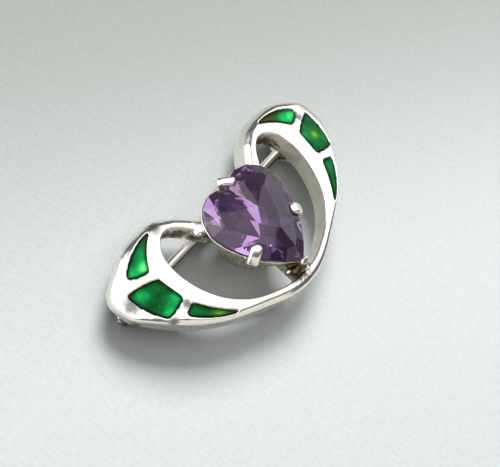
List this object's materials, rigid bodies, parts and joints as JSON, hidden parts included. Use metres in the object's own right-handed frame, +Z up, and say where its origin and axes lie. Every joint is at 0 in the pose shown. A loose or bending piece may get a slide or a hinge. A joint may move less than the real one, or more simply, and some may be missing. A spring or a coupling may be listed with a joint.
{
  "type": "brooch",
  "caption": "Curled ribbon brooch with a heart-cut stone in a clawed collet, enamel cells in both wings, and a hinged pin and hook catch behind.",
  "frame": {"origin": "middle of the bounding box on the level that the brooch rests on", "axes": "+X from the wing over the catch to the wing over the hinge, +Y from the heart's tip towards its lobes, +Z up through the face"},
  "size_m": [0.03, 0.0144, 0.0067],
  "materials": {
    "silver": "worn polish with tarnish in the recesses",
    "purple_stone": "polished facets",
    "green_enamel": "glossy, translucent over silver",
    "pin_wire": "drawn wire, dulled"
  },
  "bodies": {
    "mount": {"silver_mount": "silver", "heart_stone": "purple_stone", "enamel_left_upper": "green_enamel", "enamel_left_middle": "green_enamel", "enamel_left_lower": "green_enamel", "enamel_right_upper": "green_enamel", "enamel_right_middle": "green_enamel", "enamel_right_lower": "green_enamel", "hinge_rivet": "pin_wire"},
    "pin": {"pin_stem": "pin_wire"}
  },
  "joints": [
    {"name": "pin_hinge", "type": "hinge", "parent": "mount", "child": "pin", "pos_m": [0.0102, 0.00315, 0.00105], "axis": [0, -0.766, -0.6428], "range_deg": [0, 75]}
  ]
}
